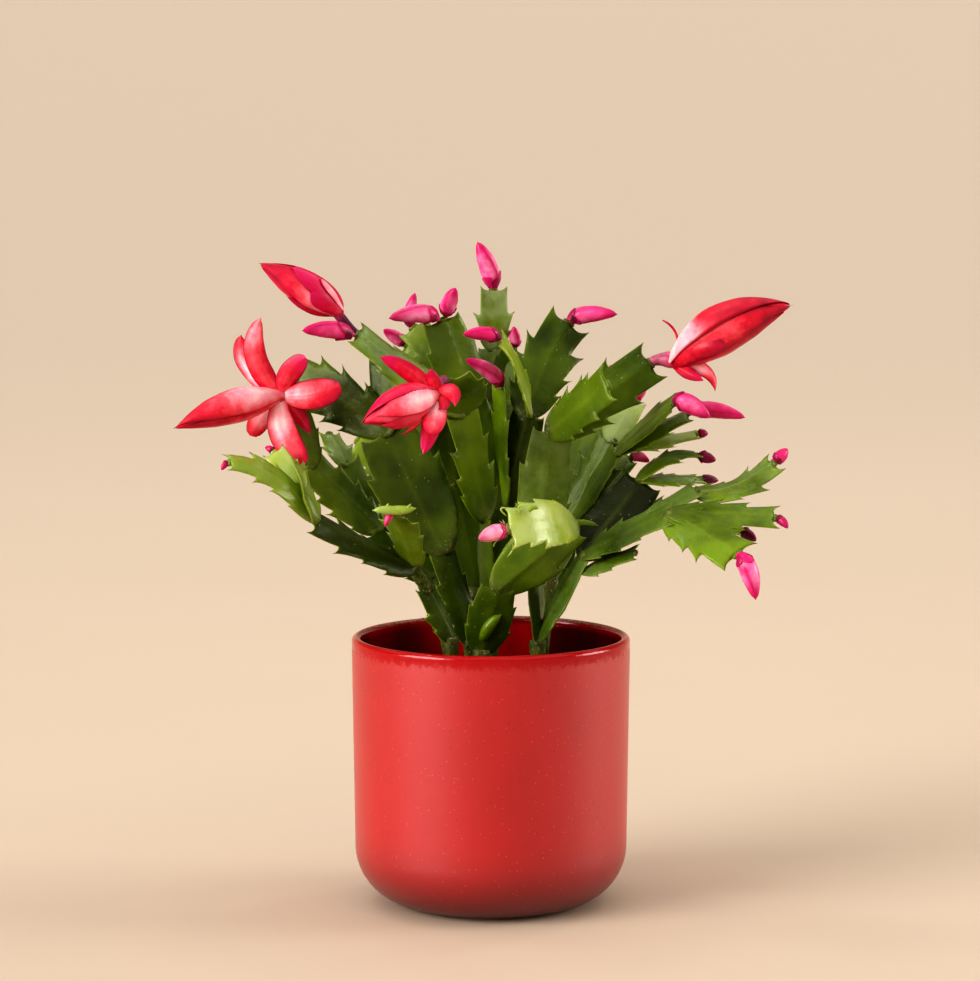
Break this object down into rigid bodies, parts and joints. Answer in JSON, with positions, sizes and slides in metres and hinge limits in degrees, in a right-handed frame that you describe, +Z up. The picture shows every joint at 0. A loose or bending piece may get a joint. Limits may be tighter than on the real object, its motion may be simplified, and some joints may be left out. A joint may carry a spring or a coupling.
{
  "type": "potted christmas cactus",
  "caption": "Christmas cactus with flat toothed leaf pads, open pink-red blooms and buds, in a nursery pot inside a round red glazed cover pot.",
  "frame": {"origin": "centre of the flat foot of the cover pot, on the surface it stands on", "axes": "+Z up, along the pot's axis and the plant's height; -Y towards the front of the plant, where it is pictured from; +X to the viewer's right"},
  "size_m": [0.261, 0.1822, 0.284],
  "materials": {
    "glazed_pot": "gloss",
    "nursery_plastic": "satin",
    "potting_soil": "matte",
    "green_pads": "satin",
    "bloom_petals": "satin",
    "bud_scales": "satin"
  },
  "bodies": {
    "root": {"cover_pot": "glazed_pot", "nursery_pot": "nursery_plastic", "soil": "potting_soil", "shoot_left_low": "green_pads", "shoot_left_back": "green_pads", "shoot_left_tall": "green_pads", "shoot_centre": "green_pads", "shoot_front": "green_pads", "shoot_right": "green_pads", "shoot_back_tall": "green_pads", "shoot_right_back": "green_pads", "shoot_behind_left": "green_pads", "shoot_behind_right": "green_pads", "shoot_behind_middle": "green_pads", "bloom_open": "bloom_petals", "bloom_top_left": "bloom_petals", "bloom_centre": "bloom_petals", "bloom_right": "bloom_petals", "bud_top": "bud_scales", "bud_top_right": "bud_scales", "bud_trio_left": "bud_scales", "bud_trio_right": "bud_scales", "bud_trio_back": "bud_scales", "bud_half_hidden": "bud_scales", "bud_arched": "bud_scales", "bud_inner": "bud_scales", "bud_behind": "bud_scales", "bud_beside_bloom": "bud_scales", "bud_pair_left": "bud_scales", "bud_pair_right": "bud_scales", "bud_round": "bud_scales", "bud_brown": "bud_scales", "bud_short": "bud_scales", "bud_purple": "bud_scales", "bud_dark": "bud_scales", "bud_far_right": "bud_scales", "bud_low_right": "bud_scales", "bud_low_dark": "bud_scales", "bud_hanging": "bud_scales", "bud_front": "bud_scales", "bud_tiny": "bud_scales", "bud_tiny_left": "bud_scales", "bud_tip_left": "bud_scales", "bud_behind_left": "bud_scales", "bud_behind_right": "bud_scales", "bud_behind_middle": "bud_scales"}
  },
  "joints": []
}
